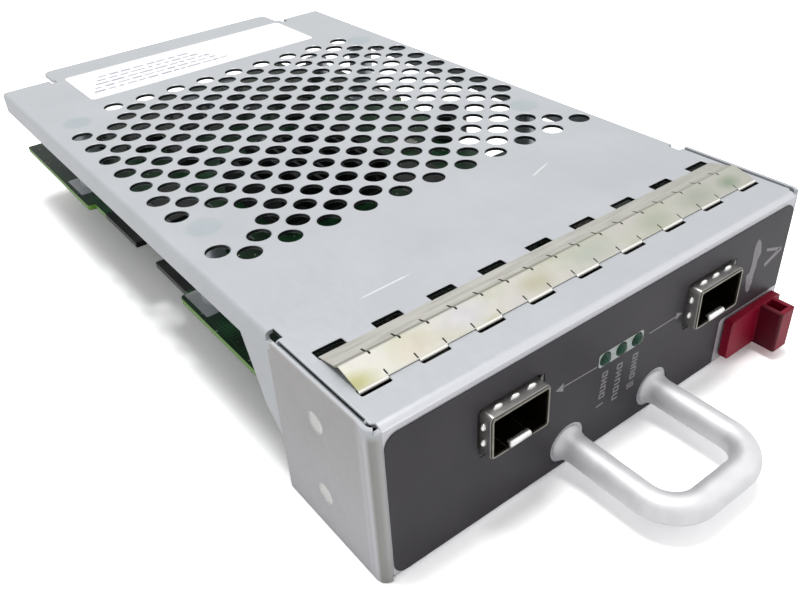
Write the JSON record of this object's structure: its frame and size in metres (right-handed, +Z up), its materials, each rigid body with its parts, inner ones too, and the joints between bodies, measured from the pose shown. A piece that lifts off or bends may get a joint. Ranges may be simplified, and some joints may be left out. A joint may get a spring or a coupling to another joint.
{
  "type": "fibre channel board",
  "caption": "Hot-plug fibre channel board on a folded, perforated sheet carrier with port cages, status lamps, a U-shaped pull handle and a sliding release latch.",
  "frame": {"origin": "middle of the front panel's outer face, level with the carrier's underside", "axes": "+X to the right along the front panel seen from the front, +Y from the front panel to the rear plug, +Z up through the perforated top"},
  "size_m": [0.1256, 0.2499, 0.0417],
  "materials": {
    "plated_steel": "satin",
    "spring_copper": "satin",
    "dark_film": "satin",
    "label_stock": "matte",
    "cage_nickel": "satin",
    "black_moulding": "matte",
    "lamp_moulding": "matte",
    "lamp_lens": "gloss",
    "handle_metal": "satin",
    "fastener_steel": "satin",
    "latch_moulding": "satin",
    "spring_steel": "satin",
    "board_laminate": "satin",
    "plug_moulding": "matte",
    "socket_metal": "satin",
    "sink_metal": "matte",
    "chip_body": "matte",
    "can_metal": "satin"
  },
  "bodies": {
    "carrier": {"backplane_connector": "plug_moulding", "board_screws": "fastener_steel", "board_standoffs": "fastener_steel", "bulk_capacitor_1": "can_metal", "bulk_capacitor_2": "can_metal", "bulk_capacitor_3": "can_metal", "bulk_capacitor_4": "can_metal", "cage_collar_left": "cage_nickel", "cage_collar_right": "cage_nickel", "carrier_housing": "plated_steel", "clock_can_1": "socket_metal", "clock_can_2": "socket_metal", "finger_strip": "spring_copper", "flash_chip": "chip_body", "front_overlay": "dark_film", "guide_socket_left": "socket_metal", "guide_socket_right": "socket_metal", "handle_screws": "fastener_steel", "heat_sink": "sink_metal", "host_connector_left": "black_moulding", "host_connector_right": "black_moulding", "hub_chip": "chip_body", "lamp_holder": "lamp_moulding", "latch_guide": "plated_steel", "latch_spring": "spring_steel", "logic_chip_1": "chip_body", "logic_chip_2": "chip_body", "main_board": "board_laminate", "memory_chip_1": "chip_body", "memory_chip_2": "chip_body", "port_cage_left": "cage_nickel", "port_cage_right": "cage_nickel", "power_inductor_1": "chip_body", "power_inductor_2": "chip_body", "power_inductor_3": "chip_body", "product_label": "label_stock", "pull_handle": "handle_metal", "regulator_1": "chip_body", "regulator_2": "chip_body", "status_lamp_1": "lamp_lens", "status_lamp_2": "lamp_lens", "status_lamp_3": "lamp_lens", "transceiver_chip_1": "chip_body", "transceiver_chip_2": "chip_body", "underside_chip_1": "chip_body", "underside_chip_2": "chip_body", "wall_rivets": "fastener_steel"},
    "latch": {"release_latch": "latch_moulding"}
  },
  "joints": [
    {"name": "latch_slide", "type": "slide", "parent": "carrier", "child": "latch", "axis": [-1, 0, 0], "range_m": [0, 0.004], "stiffness_N_per_m": 400, "springref_m": -0.002, "deforming": ["latch_spring"]}
  ]
}
